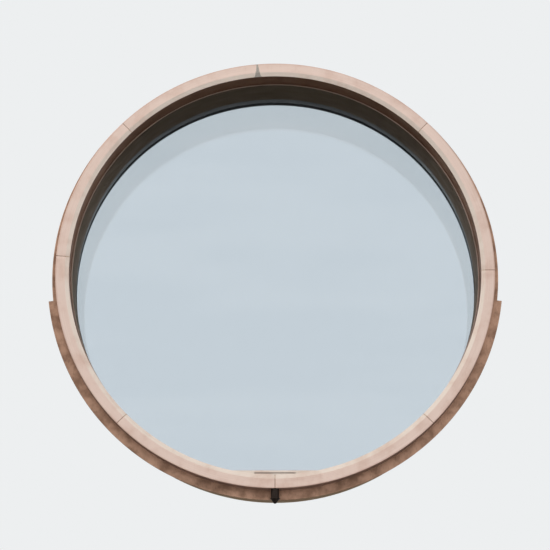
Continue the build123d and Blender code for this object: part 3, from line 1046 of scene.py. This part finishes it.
class OCULUS_OT_casing(bpy.types.Operator):
    """Curved casing of laminated timber in four quadrants, and the timber core of the ring"""

    bl_idname = "oculus.casing"
    bl_label = "Casing and Core"

    def execute(self, context):
        p = context.scene.oculus_timber
        timber = timber_laminated()
        section = rounded(
            [
                (CASING_INNER, CASING_FRONT), (CASING_OUTER, CASING_FRONT),
                (CASING_OUTER, CASING_ROOM), (FRAME_OUTER + GAP, CASING_ROOM),
                (FRAME_OUTER + GAP, FRAME_FRONT), (CASING_INNER, FRAME_FRONT),
            ],
            p.arris,
        )
        for node in CASINGS:
            turns = ladder(ends(node), BAR_STEP)
            piece = bar_round(f"timber_{node}", section, turns, timber, p.arris)
            stand_in(piece, "laminated_timber", node)
        dress("ring_core_", timber)
        dress("casing_spline_", plywood_birch())
        dress("fixing_lugs", steel_galvanised())
        return {"FINISHED"}


class OCULUS_OT_glazing(bpy.types.Operator):
    """Glazing frame, sealed unit, gaskets, blocks, and beads with their screws"""

    bl_idname = "oculus.glazing"
    bl_label = "Glazing"

    def execute(self, context):
        p = context.scene.oculus_glazing
        paint, rubber = timber_painted(), rubber_extruded()
        side = spread("location_blocks")[1] + GAP
        seat = spread("outer_gasket")[2]
        section = rounded(
            [
                (SIGHT, FRAME_FRONT), (FRAME_OUTER, FRAME_FRONT), (FRAME_OUTER, BEAD_FRONT),
                (side, BEAD_FRONT), (side, seat), (SIGHT, seat),
            ],
            p.arris,
        )
        slope = 9 * MM      # of the bead towards the room, as wide as it is deep
        bead = rounded(
            [
                (SIGHT, BEAD_FRONT), (FRAME_OUTER, BEAD_FRONT), (FRAME_OUTER, BEAD_ROOM),
                (SIGHT + slope, BEAD_ROOM), (SIGHT, BEAD_ROOM - slope),
            ],
            0.6 * p.arris,
        )
        for node in (*FRAMES, *BEADS):
            outline, turns = section if node in FRAMES else bead, ladder(ends(node), BAR_STEP)
            piece = bar_round(f"painted_{node}", outline, turns, paint, 0.4 * p.arris)
            stand_in(piece, "painted_timber", node)
        for node in ("outer_gasket", "inner_gasket"):
            inner, outer, near, far = spread(node)
            lip = rounded([(inner, near), (outer, near), (outer, far), (inner, far)], 1.4 * MM)
            piece = bar_round(f"rubber_{node}", lip, ladder([0, 360], GASKET_STEP), rubber)
            stand_in(piece, "gasket_rubber", node)

        count = 4 * round(TAU * SIGHT / p.screw_pitch / 4)
        turn = math.radians(ends(BEADS[0])[0]) + (np.arange(count) + 0.5) * TAU / count
        middle = (SIGHT + slope + FRAME_OUTER) / 2
        seats = around(middle, BEAD_ROOM, turn)
        # From the bottom of the drive over the countersunk head, in shares of its radius, to
        # the end of the shank
        head = np.array(
            [
                (0, -1.1), (0.34, -1.1), (0.46, -0.1), (0.9, 0.15), (1, -0.1), (0.98, -0.7),
                (0.5, -2.4), (0.5, -9), (0, -9),
            ]
        ) * (p.screw_head, MM)
        screws = turned("bead_screws", head, seats, "Y", steel_plated(), sides=12)
        stand_in(screws, "galvanised_steel")

        dress("outer_pane", glass("float_glass_coated", p.tint, 0.02 * MM))
        dress("inner_pane", glass("float_glass_clear", p.clear, 0.02 * MM))
        dress("spacer_ring", rubber)
        # The straps and tray take the sleeve's copper, darkened as painted shade
        moulded, shade_darkened = block_moulded(), bpy.data.materials["copper_sleeve_shade_darkened"]
        for node in ("setting_blocks", "location_blocks"):
            dress(node, moulded)
        for node in ("joint_straps", "drain_tray"):
            dress(node, shade_darkened)
        return {"FINISHED"}


FLOOR_REACH = 200.0
AIM_DROP = 35 * MM          # below the window's axis, where the camera aims
SKY_LIGHT = 0.8             # strength of the sky as a light, while it is seen at 1
GROUND_MIRRORED = 0.35      # share of the floor's paleness that reflections see

# Name, place, width and height in metres, beam in degrees, power in watts, colour. Straight
# in front, heights from 1.4 m to 7.9 m stay empty, because a lamp would show in the glass
# there. The low lamp's beam is narrow, so that it leaves no bright patch on the floor.
LAMPS = (
    ("key_soft", (-12.0, -5.5, 8.5), 8.0, 8.0, 180.0, 520.0, "#FFF9F3"),
    ("fill_soft", (9.0, -11.0, 2.0), 7.0, 7.0, 180.0, 50.0, "#FBFBFF"),
    ("front_soft", (0.0, -16.0, 11.5), 9.0, 3.0, 180.0, 100.0, "#FFFFFF"),
    ("low_soft", (0.0, -17.0, -3.0), 9.0, 1.8, 100.0, 44.0, "#FFFFFF"),
    ("room_soft", (1.5, 9.0, 5.0), 4.0, 4.0, 180.0, 200.0, "#FFFFFF"),
)


class OCULUS_OT_stage(bpy.types.Operator):
    """Pale floor and sky, soft studio light and the camera where the photograph was taken"""

    bl_idname = "oculus.stage"
    bl_label = "Stage"

    def execute(self, context):
        p = context.scene.oculus_stage
        scene = context.scene
        scene.view_settings.view_transform = "Standard"

        world = bpy.data.worlds.new("pale_sky")
        world.use_nodes = True
        tree = world.node_tree
        tree.nodes.clear()
        ray = add(tree, "LightPath").node.outputs
        glossy, through = ray["Is Glossy Ray"], ray["Is Transmission Ray"]
        mirrored = add(tree, "Math", {0: glossy, 1: through}, operation="MAXIMUM")
        seen = add(tree, "Math", {0: ray["Is Camera Ray"], 1: mirrored}, operation="MAXIMUM")
        light = add(tree, "Background", {0: linear("#F1F3F6"), 1: SKY_LIGHT})
        shown = add(tree, "Background", {0: tuple(p.backdrop), 1: 1.0})
        mixed = add(tree, "MixShader", {0: seen, 1: light, 2: shown})
        add(tree, "OutputWorld", {0: mixed})
        scene.world = world

        material, tree, where = finish("floor_plaster_trowelled")
        mottle = spots(tree, where, (800, 800, 800), 3.0)
        # The camera sees the floor pale, also through the two panes, whose four faces it
        # crosses. Reflections see it a third as pale, as the ground is darker than the sky.
        ray = add(tree, "LightPath").node.outputs
        direct = add(tree, "Math", {0: ray["Ray Depth"], 1: 4.5}, operation="LESS_THAN")
        through = ray["Is Transmission Ray"]
        panes = add(tree, "Math", {0: through, 1: direct}, operation="MULTIPLY")
        watched = add(tree, "Math", {0: ray["Is Camera Ray"], 1: panes}, operation="MAXIMUM")
        glossy = {0: ray["Is Glossy Ray"], 1: GROUND_MIRRORED}
        mirrored = add(tree, "Math", glossy, operation="MULTIPLY")
        watched = add(tree, "Math", {0: watched, 1: mirrored}, operation="MAXIMUM")
        ground = coats(
            tree, linear("#6A6864"),
            (mottle, 0.3, 0.7, 1.0, linear("#767470")),
            (watched, 0.0, 1.0, 1.0, tuple(p.backdrop)),
        )
        shade(tree, ground, Roughness=0.9)
        side = np.array([-FLOOR_REACH, FLOOR_REACH])
        corners = together(*grid(side, side), p.ground)
        floor = make("floor", corners, [(0, 2, 3, 1)], material)

        for name, seat, wide, high, beam, power, tone in LAMPS:
            lamp = bpy.data.lights.new(name, "AREA")
            lamp.shape, lamp.size, lamp.size_y = "ELLIPSE", wide, high
            lamp.spread, lamp.energy = math.radians(beam), power
            lamp.color = linear(tone)[:3]
            holder = bpy.data.objects.new(name, lamp)
            holder.visible_camera = holder.visible_transmission = False
            holder.location = seat
            holder.rotation_euler = (-Vector(seat)).to_track_quat("-Z", "Y").to_euler()
            scene.collection.objects.link(holder)

        view = bpy.data.cameras.new("camera")
        view.lens, view.sensor_width = p.lens, 36.0
        eye = bpy.data.objects.new("camera", view)
        eye.location = tuple(p.eye)
        aim = Vector((0.0, RING_FRONT, -AIM_DROP))
        eye.rotation_euler = (aim - Vector(p.eye)).to_track_quat("-Z", "Y").to_euler()
        scene.collection.objects.link(eye)
        scene.camera = eye
        return {"FINISHED"}


class OCULUS_PT_panel(bpy.types.Panel):
    """Sizes, colours and one button for each group of pieces"""

    bl_idname = "OCULUS_PT_panel"
    bl_label = "Oculus Window"
    bl_space_type = "VIEW_3D"
    bl_region_type = "UI"
    bl_category = "Oculus"

    def draw(self, context):
        for group, kind in GROUPS.items():
            box = self.layout.box()
            for key in kind.__annotations__:
                box.prop(getattr(context.scene, group), key)
        for operator in OPERATORS:
            self.layout.operator(operator.bl_idname)


OPERATORS = (
    OCULUS_OT_ring, OCULUS_OT_flashings, OCULUS_OT_reveal, OCULUS_OT_drain,
    OCULUS_OT_casing, OCULUS_OT_glazing, OCULUS_OT_stage,
)


CLASSES = (*GROUPS.values(), *OPERATORS, OCULUS_PT_panel)


def register():
    for kind in CLASSES:
        bpy.utils.register_class(kind)
    for name, kind in GROUPS.items():
        setattr(bpy.types.Scene, name, PointerProperty(type=kind))


def unregister():
    for name in GROUPS:
        delattr(bpy.types.Scene, name)
    for kind in reversed(CLASSES):
        bpy.utils.unregister_class(kind)


def main():
    register()
    for operator in OPERATORS:
        group, call = operator.bl_idname.split(".")
        getattr(getattr(bpy.ops, group), call)()


if __name__ == "__main__":
    main()
